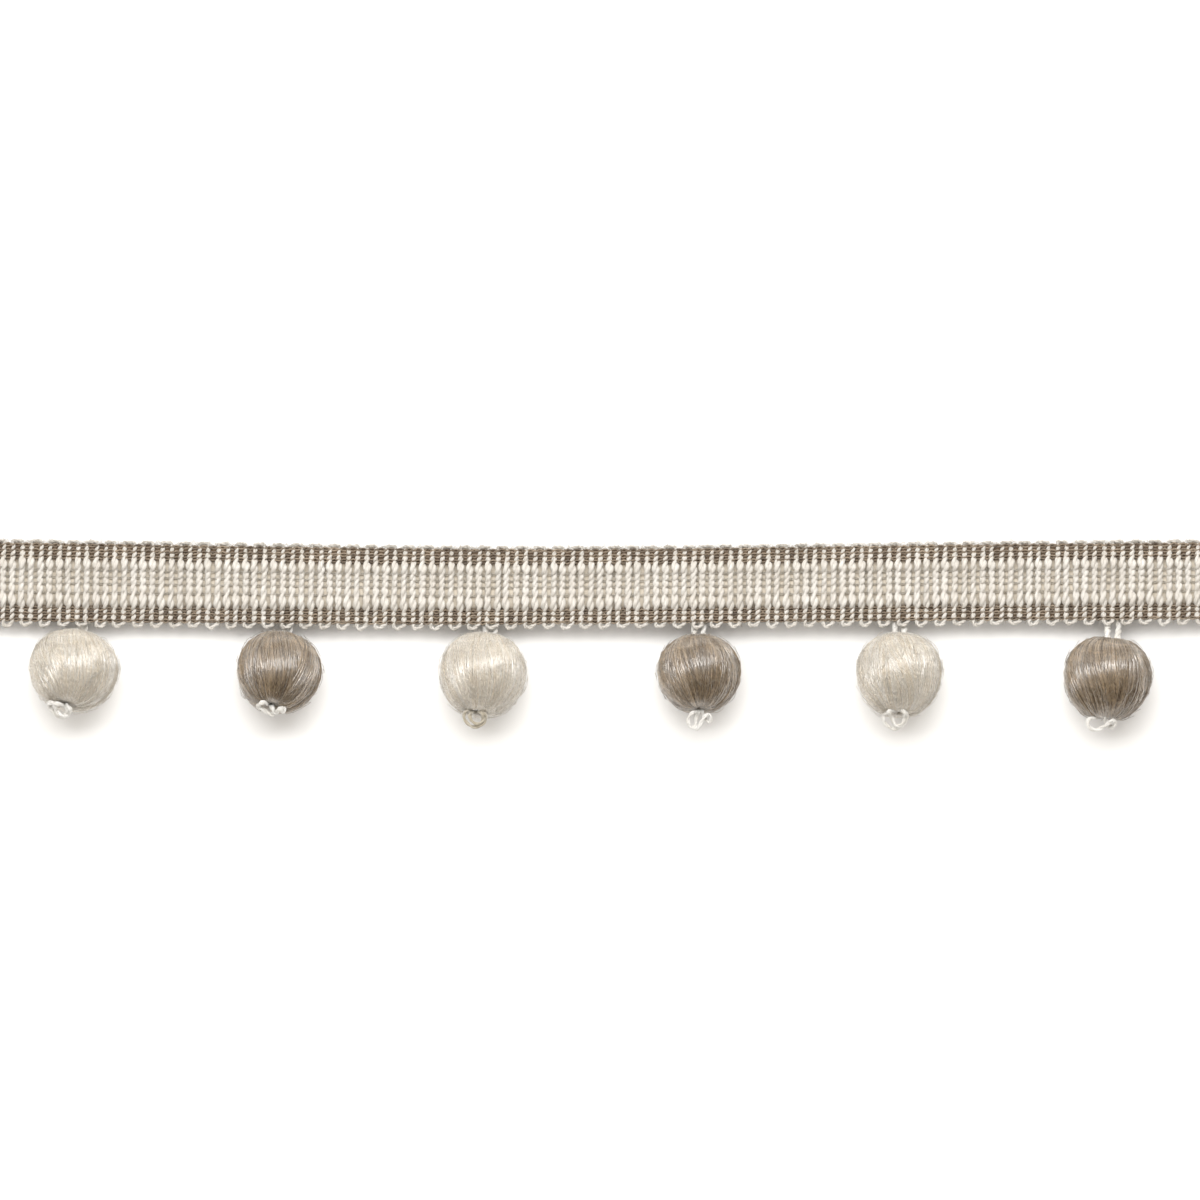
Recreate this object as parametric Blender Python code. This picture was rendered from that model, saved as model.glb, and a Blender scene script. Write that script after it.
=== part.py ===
"""A cut length of ball fringe trim, lying face up on a surface.

A crocheted braid heading runs along X. Below its lower edge hang six balls
wound from fine thread, cream and taupe in turn. A doubled twisted cord carries
each ball: it leaves the braid as two short legs, runs through the ball from
pole to pole and shows again below it as a small loop.

The origin is on the flat back of the braid, midway along it. +X runs along
the trim, +Y points away from the balls, +Z points out of its face. Sizes
below are in millimetres and angles in degrees; MM turns them into metres.
"""

import math
import random
from collections import namedtuple

import bmesh
import bpy
from mathutils import Matrix, Vector

MM = 0.001
SHARP_ANGLE = 50.0

# Braid heading
LENGTH = 200.0
RIBS = 143  # passes of the weft cord, each one a rib across the braid
EDGE_LOOP_UPPER = 0.45  # how far the weft's turns stand out of the upper edge
EDGE_LOOP_LOWER = 0.85
EDGE_LOOP_SHAPE = (0.0, 0.7, 1.0, 0.7)  # share of that reach, column by column
RIB_UNEVEN = 0.05  # most by which a rib's height and place wander
BRAID_SEED = 5
WELD = 0.001

# Where the braid's two edges lie, along its length
Station = namedtuple("Station", "x upper lower")
STATIONS = (
    Station(-100.0, 6.65, -5.50),
    Station(-75.0, 6.35, -5.70),
    Station(-50.0, 5.95, -5.90),
    Station(-25.0, 5.60, -6.00),
    Station(0.0, 5.55, -5.85),
    Station(25.0, 5.80, -5.70),
    Station(50.0, 6.15, -5.55),
    Station(75.0, 6.40, -5.40),
    Station(100.0, 6.55, -5.35),
)

# The braid's section: the share of the way from its upper edge to its lower one,
# and the height of the face on a rib and in the hollow between two ribs
Row = namedtuple("Row", "share rib hollow")
FACE_ROWS = (
    Row(0.00, 1.10, 0.90),  # upper edge, where the weft turns
    Row(0.17, 1.35, 1.05),  # inner side of the upper taupe band
    Row(0.28, 1.80, 1.15),  # upper line of cream floats
    Row(0.37, 1.45, 1.20),  # middle, bound down by fine cream chains
    Row(0.60, 1.45, 1.20),
    Row(0.69, 1.80, 1.15),  # lower line of cream floats
    Row(0.80, 1.35, 1.05),  # inner side of the lower taupe band
    Row(1.00, 1.10, 0.90),  # lower edge
)
BACK_UPPER = Row(0.00, 0.0, 0.0)
BACK_LOWER = Row(1.00, 0.0, 0.0)
SECTION = (BACK_LOWER, BACK_UPPER) + FACE_ROWS + (BACK_LOWER,)

# Wound balls: the place of the centre, the size across and from pole to pole,
# how much further out the bottom pole lies, how far the top pole dips below the
# level, and how far the axis is turned towards +X
Ball = namedtuple("Ball", "thread x y width length tip dip turn seed")
BALLS = (
    Ball("cream", -78.70, -12.80, 13.4, 12.4, 0.5, 30.0, 12.0, 11),
    Ball("taupe", -48.15, -13.05, 12.8, 12.4, 0.5, 30.0, 12.0, 12),
    Ball("cream", -17.45, -13.40, 13.0, 12.9, 0.6, 22.0, 10.0, 13),
    Ball("taupe", 14.85, -13.35, 12.6, 12.2, 0.2, 20.0, 0.0, 14),
    Ball("cream", 45.00, -13.40, 12.9, 12.9, 0.5, 18.0, 1.0, 15),
    Ball("taupe", 76.30, -14.00, 13.2, 13.1, 0.2, 4.0, 7.0, 16),
)
BALL_RADIUS = 6.5  # mean radius, which the relief below is measured against
BALL_HEIGHT = 0.96  # height of a ball as a share of its mean width
BUNDLES = 18  # thread bundles that stand up round a ball
RINGS = 12
BUNDLE_RISE = 0.14
BUNDLE_SWIRL = 24.0  # how far a bundle turns round the axis from pole to pole
LUMPS = 0.12  # low waves left by uneven winding
DIMPLE_DEPTH = 0.9  # hollow where the cord enters and leaves
DIMPLE_REACH = 26.0  # angle from the pole at which the hollow starts
DIMPLE_STEEP = 1.5  # 1 makes the hollow a plain cone, more makes its rim softer
SHOULDER = 0.06  # how much fuller the half near the top pole is, as a share
FLAT_DEPTH = 0.30  # how much of the underside is pressed flat

# Doubled cord through each ball
CORD = 0.78
CORD_SIDES = 6
CORD_OVAL = 0.16  # two plies make the section longer one way than the other
CORD_TURN = 70.0  # how far the section turns from one step to the next
LEG_HEIGHT = 0.80  # height at which the legs leave the braid's edge
LEG_STEPS = 14
GAP = 0.30  # clearance that keeps neighbouring solids apart
TAIL_SEAT = 0.42  # height of the hollow's side at the feet of a loop

# Legs between the braid and the ball: their distance at the braid and at the ball
LEGS_APART_TOP = 1.70
LEGS_APART_BALL = 1.15
LEG_RUN = 0.8  # less than 1 keeps the legs straight for longer before the bend
LEG_SPREAD = 0.5  # less than 1 keeps them apart for longer

# The loop below each ball: its size across, its reach out of the ball, how far
# it leans over from its feet and how far its plane rolls about the ball's axis
Tail = namedtuple("Tail", "width reach lean roll")
TAILS = (
    Tail(4.0, 2.1, 4.0, 24.0),
    Tail(3.5, 1.4, 0.0, 22.0),
    Tail(3.2, 1.3, 0.0, -28.0),
    Tail(3.0, 2.4, -4.0, 18.0),
    Tail(3.5, 1.5, -6.0, 30.0),
    Tail(3.1, 1.1, -26.0, 20.0),
)
TAIL_STEPS = 13
TAIL_POINTED = 0.75  # 1 makes the loop round, less makes it squarer


def clear_scene():
    for obj in list(bpy.data.objects):
        bpy.data.objects.remove(obj, do_unlink=True)


def thread_material(name, colour, roughness):
    material = bpy.data.materials.new(name)
    material.use_nodes = True
    shader = material.node_tree.nodes["Principled BSDF"]
    shader.inputs["Base Color"].default_value = (*colour, 1.0)
    shader.inputs["Roughness"].default_value = roughness
    shader.inputs["Metallic"].default_value = 0.0
    return material


def add_object(name, bm, material, location=(0.0, 0.0, 0.0)):
    """Turns a bmesh in millimetres into an object in metres, at a place in millimetres."""
    bmesh.ops.recalc_face_normals(bm, faces=bm.faces[:])
    bmesh.ops.scale(bm, vec=(MM, MM, MM), verts=bm.verts[:])
    mesh = bpy.data.meshes.new(name)
    bm.to_mesh(mesh)
    bm.free()
    mesh.shade_smooth()
    mesh.set_sharp_from_angle(angle=math.radians(SHARP_ANGLE))
    mesh.materials.append(material)
    obj = bpy.data.objects.new(name, mesh)
    obj.location = Vector(location) * MM
    bpy.context.scene.collection.objects.link(obj)
    return obj


def edge_y(x, edge):
    """Y of the braid's upper or lower edge at x, on a smooth curve through the stations."""
    last = len(STATIONS) - 1
    spacing = STATIONS[1].x - STATIONS[0].x
    along = (x - STATIONS[0].x) / spacing
    i = min(max(int(along), 0), last - 1)
    t = along - i
    before, start, end, after = (
        getattr(STATIONS[min(max(k, 0), last)], edge) for k in (i - 1, i, i + 1, i + 2)
    )
    slope_start = (end - before) / 2
    slope_end = (after - start) / 2
    rise = end - start
    return (
        start
        + slope_start * t
        + (3 * rise - 2 * slope_start - slope_end) * t**2
        + (slope_start + slope_end - 2 * rise) * t**3
    )


def loop_reach(column, reach):
    """How far the edge stands out at a column: one turn of the weft spans two ribs."""
    return reach * EDGE_LOOP_SHAPE[column % len(EDGE_LOOP_SHAPE)]


def braid_body():
    """The braid: a closed section carried along X, with one rib for each pass of the weft."""
    uneven = random.Random(BRAID_SEED)
    columns = 2 * RIBS
    step = LENGTH / columns
    shift = [uneven.uniform(-RIB_UNEVEN, RIB_UNEVEN) for _ in range(columns + 1)]
    shift[0] = shift[-1] = 0.0
    lift = [1 + uneven.uniform(-RIB_UNEVEN, RIB_UNEVEN) for _ in range(columns + 1)]

    bm = bmesh.new()
    bmesh.ops.create_grid(bm, x_segments=columns, y_segments=len(SECTION) - 1, size=0.5)
    for vert in bm.verts:
        column = round((vert.co.x + 0.5) * columns)
        row = SECTION[round((vert.co.y + 0.5) * (len(SECTION) - 1))]
        on_rib = column % 2 == 1
        x = -LENGTH / 2 + column * step + shift[column]
        upper, lower = edge_y(x, "upper"), edge_y(x, "lower")
        y = upper + (lower - upper) * row.share
        if row.share == 0.0:
            y += loop_reach(column, EDGE_LOOP_UPPER)
        elif row.share == 1.0:
            y -= loop_reach(column + 2, EDGE_LOOP_LOWER)
        vert.co = (x, y, (row.rib if on_rib else row.hollow) * lift[column])
    bmesh.ops.remove_doubles(bm, verts=bm.verts[:], dist=WELD)
    bmesh.ops.holes_fill(bm, edges=[edge for edge in bm.edges if edge.is_boundary])
    return bm


def ball_axes(ball):
    """A ball's own directions: to its right, towards its top pole, and out of its upper side."""
    dip, turn = math.radians(ball.dip), math.radians(ball.turn)
    right = Vector((math.cos(turn), -math.sin(turn), 0.0))
    top = Vector((math.sin(turn) * math.cos(dip), math.cos(turn) * math.cos(dip), -math.sin(dip)))
    return right, top, right.cross(top)


def wound_radius(lon, lat, lumps):
    """Radius of the winding at a longitude and latitude in radians, as a share of BALL_RADIUS."""
    bundle = BUNDLE_RISE * math.cos(lat) * math.cos(BUNDLES * lon)
    waves = sum(LUMPS * math.sin(n * lon + phase) * math.cos(lat) / n for n, phase in lumps)
    from_pole = 90.0 - abs(math.degrees(lat))
    into_dimple = max(0.0, 1.0 - from_pole / DIMPLE_REACH)
    hollow = DIMPLE_DEPTH * into_dimple**DIMPLE_STEEP
    return 1.0 + (bundle + waves - hollow) / BALL_RADIUS


def ball_body(ball):
    """A wound ball in its own place: swirled bundles, a hollow at each pole, a flat underside."""
    winding = random.Random(ball.seed)
    lumps = [(n, winding.uniform(0.0, 2 * math.pi)) for n in (2, 3, 5)]
    right, top, out = ball_axes(ball)
    turned = Matrix((right, out, top)).transposed()
    height = BALL_HEIGHT * (ball.width + ball.length) / 2

    bm = bmesh.new()
    bmesh.ops.create_uvsphere(bm, u_segments=2 * BUNDLES, v_segments=RINGS, radius=1.0)
    for vert in bm.verts:
        lat = math.asin(max(-1.0, min(1.0, vert.co.z)))
        lon = math.atan2(vert.co.y, vert.co.x)
        radius = wound_radius(lon, lat, lumps)
        swirled = lon + math.radians(BUNDLE_SWIRL) * math.sin(lat)
        around = radius * math.cos(lat) * (1.0 + SHOULDER * math.sin(lat))
        own = Vector((
            around * math.cos(swirled) * ball.width / 2,
            around * math.sin(swirled) * height / 2,
            radius * math.sin(lat) * (ball.length / 2 + (ball.tip if lat < 0 else 0.0)),
        ))
        vert.co = turned @ own
    lowest = min(vert.co.z for vert in bm.verts) + FLAT_DEPTH
    cut = bmesh.ops.bisect_plane(
        bm,
        geom=bm.verts[:] + bm.edges[:] + bm.faces[:],
        plane_co=(0.0, 0.0, lowest),
        plane_no=(0.0, 0.0, -1.0),
        clear_outer=True,
    )
    rim = [item for item in cut["geom_cut"] if isinstance(item, bmesh.types.BMEdge)]
    bmesh.ops.holes_fill(bm, edges=rim)
    return bm, -lowest


def pole_reach(ball, tip=0.0):
    """Distance from a ball's centre to the bottom of the hollow at a pole."""
    return (ball.length / 2 + tip) * (1.0 - DIMPLE_DEPTH / BALL_RADIUS)


def legs_route(ball, centre):
    """The doubled cord above the ball: down one leg, round at the pole and up the other."""
    right, top, _ = ball_axes(ball)
    bend = centre + top * (pole_reach(ball) + GAP + CORD / 2)
    start_y = edge_y(bend.x, "lower") - EDGE_LOOP_LOWER - GAP
    start = Vector((bend.x + (start_y - bend.y) * top.x, start_y, LEG_HEIGHT))
    points = []
    for step in range(LEG_STEPS + 1):
        angle = math.pi * step / LEG_STEPS
        along = max(0.0, math.sin(angle)) ** LEG_RUN
        apart = LEGS_APART_TOP + (LEGS_APART_BALL - LEGS_APART_TOP) * along
        side = math.copysign(abs(math.cos(angle)) ** LEG_SPREAD, -math.cos(angle))
        points.append(start.lerp(bend, along) + right * side * apart / 2)
    return points


def tail_route(ball, tail, centre):
    """The doubled cord below the ball: one open loop, leaned and rolled about the axis."""
    right, top, out = ball_axes(ball)
    roll, lean = math.radians(tail.roll), math.radians(tail.lean)
    across = right * math.cos(roll) + out * math.sin(roll)
    foot = centre - top * (pole_reach(ball, ball.tip) + TAIL_SEAT + GAP)
    points = []
    for step in range(TAIL_STEPS + 1):
        angle = math.pi * step / TAIL_STEPS
        side = -math.cos(angle) * tail.width / 2
        reach = max(0.0, math.sin(angle)) ** TAIL_POINTED * tail.reach
        leaned = side + reach * math.sin(lean)
        points.append(foot + across * leaned - top * reach * math.cos(lean))
    return points


def cord_body(points):
    """A two-ply cord along a route: an oval section that turns from step to step."""
    bm = bmesh.new()
    bmesh.ops.create_circle(bm, cap_ends=True, segments=CORD_SIDES, radius=1.0)
    cap = bm.faces[:][0]
    flat = [loop.vert.co.copy() for loop in cap.loops]
    for step, point in enumerate(points):
        before = points[max(step - 1, 0)]
        after = points[min(step + 1, len(points) - 1)]
        facing = (after - before).to_track_quat("Z", "Y").to_matrix()
        turn = Matrix.Rotation(math.radians(CORD_TURN * step), 3, "Z")
        oval = Matrix.Diagonal((1 + CORD_OVAL, 1 - CORD_OVAL, 1.0)) * (CORD / 2)
        if step:
            cap = bmesh.ops.extrude_discrete_faces(bm, faces=[cap])["faces"][0]
        for loop, corner in zip(cap.loops, flat):
            loop.vert.co = point + facing @ turn @ oval @ turn.inverted() @ corner
    bmesh.ops.holes_fill(bm, edges=[edge for edge in bm.edges if edge.is_boundary])
    return bm


def main():
    clear_scene()
    threads = {
        "cream": thread_material("cream_thread", (0.76, 0.70, 0.60), 0.45),
        "taupe": thread_material("taupe_thread", (0.40, 0.32, 0.23), 0.45),
    }
    cord = thread_material("cream_cord", (0.83, 0.79, 0.71), 0.35)
    weave = thread_material("cream_and_taupe_weave", (0.62, 0.57, 0.49), 0.6)

    trim = bpy.data.objects.new("trim", None)
    bpy.context.scene.collection.objects.link(trim)
    add_object("braid", braid_body(), weave).parent = trim
    for number, (ball, tail) in enumerate(zip(BALLS, TAILS), start=1):
        body, rest_height = ball_body(ball)
        centre = Vector((ball.x, ball.y, rest_height))
        add_object(f"ball_{number}", body, threads[ball.thread], centre).parent = trim
        legs = cord_body(legs_route(ball, centre))
        add_object(f"hanger_{number}", legs, cord).parent = trim
        loop = cord_body(tail_route(ball, tail, centre))
        add_object(f"tail_{number}", loop, cord).parent = trim


main()
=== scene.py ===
"""Ball fringe trim, dressed in its threads.

A crocheted braid lies face up: one two-ply cream weft cord crosses it back and
forth, taupe chains bind the turns at both edges and fine cream chains hold the
middle. Below it lie six balls wound from silky thread, cream and taupe in turn,
each on a doubled two-ply cord that shows again below the ball as a small loop.

Routes are worked out in millimetres and degrees, and MM turns them into metres.
"""

import math
from collections import namedtuple

import bmesh
import bpy
import numpy as np
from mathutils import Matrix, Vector


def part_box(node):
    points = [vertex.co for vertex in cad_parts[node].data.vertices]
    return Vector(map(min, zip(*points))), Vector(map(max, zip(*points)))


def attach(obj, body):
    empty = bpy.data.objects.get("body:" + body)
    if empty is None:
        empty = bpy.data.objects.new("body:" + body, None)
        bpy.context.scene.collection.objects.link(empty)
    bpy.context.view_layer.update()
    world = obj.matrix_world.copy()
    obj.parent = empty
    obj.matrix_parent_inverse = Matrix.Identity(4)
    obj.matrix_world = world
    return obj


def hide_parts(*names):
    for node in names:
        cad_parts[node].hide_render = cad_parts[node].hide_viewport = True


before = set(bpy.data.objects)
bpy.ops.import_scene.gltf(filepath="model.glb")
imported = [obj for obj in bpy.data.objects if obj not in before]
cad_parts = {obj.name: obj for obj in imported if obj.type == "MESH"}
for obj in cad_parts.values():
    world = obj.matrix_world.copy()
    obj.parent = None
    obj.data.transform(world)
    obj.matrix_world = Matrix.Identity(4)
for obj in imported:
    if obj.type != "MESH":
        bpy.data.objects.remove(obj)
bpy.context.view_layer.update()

MM = 0.001
UP = np.array((0.0, 0.0, 1.0))

# ---------------------------------------------------------------- camera, light

VIEW_MIDDLE = (0.0, -2.33)  # the point that the camera looks straight down at
CAMERA_HEIGHT = 3000.0
CAMERA_SENSOR = 36.0
CAMERA_LENS = 600.0  # takes in 180 mm at that height
CAMERA_CLIP = (0.01, 20.0)  # in metres

# Softboxes, each one metre from the trim: the direction in which it hangs, and its size and power
Softbox = namedtuple("Softbox", "name towards width depth power")
SOFTBOXES = (
    Softbox("overhead", (0.0, 0.16, 0.99), 1.2, 1.2, 0.8),
    Softbox("key", (-0.05, 0.46, 0.885), 1.25, 0.40, 9.8),
    Softbox("low", (-0.08, 0.83, 0.55), 0.80, 0.34, 2.0),
)
SOFTBOX_COLOUR = (1.0, 1.0, 0.995)
ROOM_LIGHT = 0.74
ROOM_COLOUR = (1.0, 0.96, 0.905)
FLOOR_SIDE = 6.0  # in metres
FLOOR_COLOUR = (0.96, 0.957, 0.95)
FLOOR_GRAIN = 0.006  # how much darker its darkest grain is

# ---------------------------------------------------------------- threads

# Spun yarns: darkest and lightest colour, lowest and highest roughness, the length in
# which the fibres go round once, their sheen, and how much of the tone belongs to a
# strand as a whole
Yarn = namedtuple("Yarn", "name dark light roughness lay sheen own_tone")
WEFT_YARN = Yarn(
    "cream_weft_yarn", (0.63, 0.575, 0.50), (0.85, 0.825, 0.78), (0.33, 0.48), 3.0, 0.20, 0.20
)
TAUPE_YARN = Yarn(
    "taupe_chain_yarn", (0.060, 0.034, 0.017), (0.60, 0.47, 0.34), (0.37, 0.52), 1.6, 0.25, 0.45
)
CREAM_YARN = Yarn(
    "cream_chain_yarn", (0.58, 0.52, 0.43), (0.84, 0.79, 0.71), (0.43, 0.58), 1.2, 0.25, 0.20
)
CORD_SILK = Yarn(
    "cream_cord_silk", (0.50, 0.44, 0.33), (0.985, 0.975, 0.95), (0.15, 0.30), 4.5, 0.30, 0.75
)
YARN_FIBRES = 9.0  # fibres round a yarn
YARN_STRETCH = 0.8  # how often they change along a millimetre
YARN_PATCHES = 0.4  # share that broad patches have in the rest of the tone
YARN_RELIEF = 0.06  # height of a fibre

# Winding silks: darkest and lightest colour, the dark colour of the painted shade down in a ball's holes and
# between its strands, their sheen, and how strong the coat is on the darkest and on the lightest filaments
Silk = namedtuple("Silk", "name dark light deep sheen coat")
SILKS = {
    "cream": Silk(
        "cream_silk", (0.735, 0.625, 0.475), (0.91, 0.86, 0.77), (0.26, 0.205, 0.14), 0.75, (0.25, 1.0)
    ),
    "taupe": Silk(
        "taupe_silk", (0.072, 0.042, 0.018), (0.54, 0.38, 0.215), (0.05, 0.032, 0.018), 0.62, (0.70, 1.0)
    ),
}
SILK_ROUGHNESS = (0.20, 0.32)
SILK_FIBRES = 2.2
SILK_LAY = 3.5
SILK_STRETCH = 1.8
SILK_TONES = (0.52, 0.08, 0.40)  # shares of the tone: the strand, patches of strands, filaments
SILK_COAT_TONES = (0.08, 0.70)  # the coat goes from its least to its most between these tones
SILK_RELIEF = 0.12

# The ground's own taupe and beige, each made darker with painted shade for the gaps between the cords
GROUND_TAUPE_WITH_SHADE = (0.050, 0.030, 0.016), (0.15, 0.10, 0.06)
GROUND_BEIGE_WITH_SHADE = (0.51, 0.45, 0.365), (0.75, 0.685, 0.58)
GROUND_THREADS = (1400.0, 5200.0, 1400.0)  # threads for each metre
GROUND_RELIEF = 0.08
NOISE_MIDDLE = (0.3, 0.7)  # between these lie nearly all values of a noise

# ---------------------------------------------------------------- braid

LENGTH = 200.0
RIBS = 143
PITCH = LENGTH / RIBS

# Where the braid's two edges lie, along its length
EDGE_X = (-100.0, -75.0, -50.0, -25.0, 0.0, 25.0, 50.0, 75.0, 100.0)
EDGE_UPPER = (6.65, 6.35, 5.95, 5.60, 5.55, 5.80, 6.15, 6.40, 6.55)
EDGE_LOWER = (-5.55, -5.80, -5.98, -6.15, -6.00, -5.80, -5.58, -5.42, -5.38)

# One pass of the weft cord: the share of the way from the upper edge to the
# lower, the height of the cord's middle, how far its plies lie from the middle,
# their radius, and the turns that they have made
WeftRow = namedtuple("WeftRow", "share height apart radius turns")
WEFT_ROWS = (
    WeftRow(0.020, 0.44, 0.10, 0.14, -0.25),
    WeftRow(0.046, 0.54, 0.12, 0.19, 0.00),  # first taupe chain
    WeftRow(0.082, 0.64, 0.11, 0.23, 0.25),
    WeftRow(0.116, 0.60, 0.12, 0.19, 0.50),  # second taupe chain
    WeftRow(0.150, 0.78, 0.14, 0.29, 0.75),
    WeftRow(0.187, 0.72, 0.15, 0.235, 1.00),  # third taupe chain
    WeftRow(0.235, 1.12, 0.24, 0.33, 1.28),
    WeftRow(0.295, 1.42, 0.28, 0.36, 1.50),  # crest of the upper floats
    WeftRow(0.350, 1.00, 0.17, 0.29, 1.78),
    WeftRow(0.392, 1.12, 0.22, 0.35, 2.00),
    WeftRow(0.434, 0.92, 0.15, 0.28, 2.25),
    WeftRow(0.475, 1.12, 0.22, 0.35, 2.50),
    WeftRow(0.516, 0.92, 0.15, 0.28, 2.75),
    WeftRow(0.568, 1.12, 0.23, 0.36, 3.00),
    WeftRow(0.625, 0.96, 0.17, 0.29, 3.24),
    WeftRow(0.702, 1.42, 0.28, 0.36, 3.50),  # crest of the lower floats
    WeftRow(0.772, 1.16, 0.25, 0.34, 3.75),
    WeftRow(0.826, 0.74, 0.15, 0.24, 4.00),  # fourth taupe chain
    WeftRow(0.857, 0.84, 0.13, 0.27, 4.25),
    WeftRow(0.889, 0.62, 0.12, 0.195, 4.50),  # fifth taupe chain
    WeftRow(0.928, 0.78, 0.14, 0.28, 4.75),
    WeftRow(0.965, 0.62, 0.12, 0.22, 5.00),  # sixth taupe chain
    WeftRow(1.000, 0.64, 0.12, 0.21, 5.25),
)
BANDS = (0.205, 0.805)  # the taupe bands lie outside these shares
BAND_STEPS, MIDDLE_STEPS = 14, 27
BAND_SWAY = 0.08  # how far the weft leans to and fro between the taupe chains
BAND_SWAY_UNEVEN = (0.7, 1.2)
BAND_SWAY_START = 0.02  # the share within which the sway sets in
WEFT_LEAN = 0.18  # how far a rib's upper end leans towards +X
WEFT_UNEVEN = 0.07
WEFT_TONES = (0.35, 0.65)  # of its two plies
WEFT_SEED = 5
LOOP_TURNS = 1.0  # turns that the plies make in one loop at an edge
LOOP_UNEVEN = (-0.30, 0.25)  # how much shorter or longer a loop is

# The weft's turn at an edge: share of a pitch along, and distance out of the edge
LOWER_LOOP = (
    (0.03, -0.15), (0.08, -0.29), (0.17, -0.41), (0.28, -0.48), (0.40, -0.50),
    (0.53, -0.47), (0.65, -0.39), (0.76, -0.29), (0.87, -0.17), (0.95, -0.07),
)
LOWER_LOOP_HEIGHT = (0.61, 0.62, 0.63, 0.65, 0.67, 0.69, 0.71, 0.72, 0.71, 0.68)
UPPER_LOOP = ((0.04, 0.02), (0.20, 0.05), (0.50, 0.06), (0.80, 0.05), (0.96, 0.02))
UPPER_LOOP_HEIGHT = (0.44, 0.40, 0.38, 0.40, 0.44)

# How high the balls' cords hold the lower edge off the surface, along the braid
EDGE_LIFTS = (2.3, 2.3, 2.4, 2.6, 3.0, 3.1, 2.8, 2.7, 2.7)
EDGE_LIFT_BEND = 1.3  # at 1 the braid would slope evenly from edge to edge

# Chains that run along the braid and bind the weft: the shares of the way across at
# which they lie, a strand's radius and how much fuller it is between two ribs, how far
# the two strands lie from the middle on a rib and between two, and how far the chain
# lies above the weft's middle and dips between two ribs
Chain = namedtuple("Chain", "name shares radius swell apart over dip")
TAUPE_CHAINS = Chain(
    "taupe_chains", (0.044, 0.115, 0.187, 0.826, 0.889, 0.965), 0.105, 0.50, (0.055, 0.225), 0.29, 0.36
)
CREAM_CHAINS = Chain(
    "cream_chains", (0.350, 0.434, 0.516, 0.625), 0.055, 0.35, (0.03, 0.12), 0.38, 0.52
)
CHAIN_STEPS = 6  # points for each rib
CHAIN_UNEVEN = 0.06
CHAIN_GAPS_UNEVEN = 0.22  # how much its strands' distance varies between two ribs
CHAIN_RADII_UNEVEN = 0.10
CHAIN_SEED = 21

# The ground behind the cords: share of the way across, height under a rib and between two
GROUND_FACE = (
    (0.022, 0.46, 0.36), (0.05, 0.56, 0.46), (0.10, 0.58, 0.48), (0.14, 0.60, 0.50),
    (0.18, 0.62, 0.50), (0.22, 0.66, 0.46), (0.28, 0.72, 0.44), (0.34, 0.72, 0.48),
    (0.42, 0.70, 0.52), (0.50, 0.70, 0.52), (0.60, 0.70, 0.52), (0.66, 0.72, 0.46),
    (0.70, 0.72, 0.44), (0.76, 0.66, 0.46), (0.80, 0.62, 0.50), (0.85, 0.60, 0.50),
    (0.90, 0.58, 0.48), (0.95, 0.56, 0.46), (0.988, 0.46, 0.36),
)
GROUND_BACK = (
    (0.988, 0.06, 0.16), (0.90, 0.0, 0.12), (0.80, 0.0, 0.10), (0.60, 0.0, 0.10),
    (0.40, 0.0, 0.10), (0.20, 0.0, 0.10), (0.10, 0.0, 0.10), (0.022, 0.0, 0.06),
)
GROUND_COLUMNS = 4  # for each rib
# The shares at which its face turns from taupe to beige, and further down back to taupe
GROUND_TURNS = (BANDS[0] - 0.01, BANDS[0] + 0.09), (BANDS[1], BANDS[1] - 0.06)

EDGE_FIBRES = 1700
EDGE_FIBRES_ABOVE = 0.65  # share of them at the upper edge
EDGE_FIBRE_LENGTH = (0.5, 1.3)
EDGE_FIBRE_ROOT = 0.25  # how far inside the edge it starts
EDGE_FIBRE_HEIGHT = 0.55
EDGE_FIBRE_UNEVEN = (-0.2, 0.35)  # how much lower or higher it starts
EDGE_FIBRE_FAN = 1.2  # most that it points along the edge, in radians
EDGE_FIBRE_OUT = 0.75  # share of its length that it reaches out
EDGE_FIBRE_CURL = 0.5  # most that it curls along the edge
EDGE_FIBRE_BOW = 0.35
EDGE_FIBRE_FROM_ENDS = 1.0  # how near the braid's ends one starts
FIBRE_RADIUS = 0.021
FIBRE_SEED = 33

# ---------------------------------------------------------------- balls

# Each ball: its thread, where its middle lies, its width, its length from pole to pole,
# how much further its lower pole reaches, how far its top pole dips and turns towards
# +X, in degrees, and the seed of its winding
Ball = namedtuple("Ball", "thread x y width length tip dip turn seed")
BALLS = (
    Ball("cream", -78.79, -12.80, 13.4, 12.4, 0.5, 30.0, 12.0, 11),
    Ball("taupe", -48.07, -13.05, 12.8, 12.4, 0.5, 30.0, 12.0, 12),
    Ball("cream", -17.50, -13.40, 13.0, 12.9, 0.6, 22.0, 10.0, 13),
    Ball("taupe", 14.82, -13.35, 12.6, 12.2, 0.2, 20.0, 0.0, 14),
    Ball("cream", 44.80, -13.40, 12.9, 12.9, 0.5, 18.0, 1.0, 15),
    Ball("taupe", 76.00, -14.00, 13.2, 13.1, 0.2, 4.0, 7.0, 16),
)
BALL_RADIUS = 6.5  # of a mean ball, to which depths and heights above its surface belong
BALL_HEIGHT = 0.96  # for its mean width
SHOULDER = 0.06  # how much wider it is towards its top than towards its bottom
HOLLOW_DEPTH = 0.9
HOLLOW_REACH = 26.0  # angle from a pole at which the hollow begins
HOLLOW_STEEP = 1.5
FLAT_DEPTH = 0.30  # of the spot on which it rests

CORE_SINK = 0.33  # how far the wound core lies below the ball's surface
CORE_RIBS = 60
CORE_RINGS = 30
CORE_RIB_RISE = 0.04
CORE_TONE = 0.3
CORE_PAINTED_SHADE = 0.10  # how much painted shade darkens it all over, where it shows between the strands
HOLE_REACH = 9.0  # angle from a pole within which the hole drops straight in
HOLE_DEPTH = 2.2
# how fast painted shade darkens the hole, the further into it
HOLE_PAINTED_SHADE = 2.0

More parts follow.
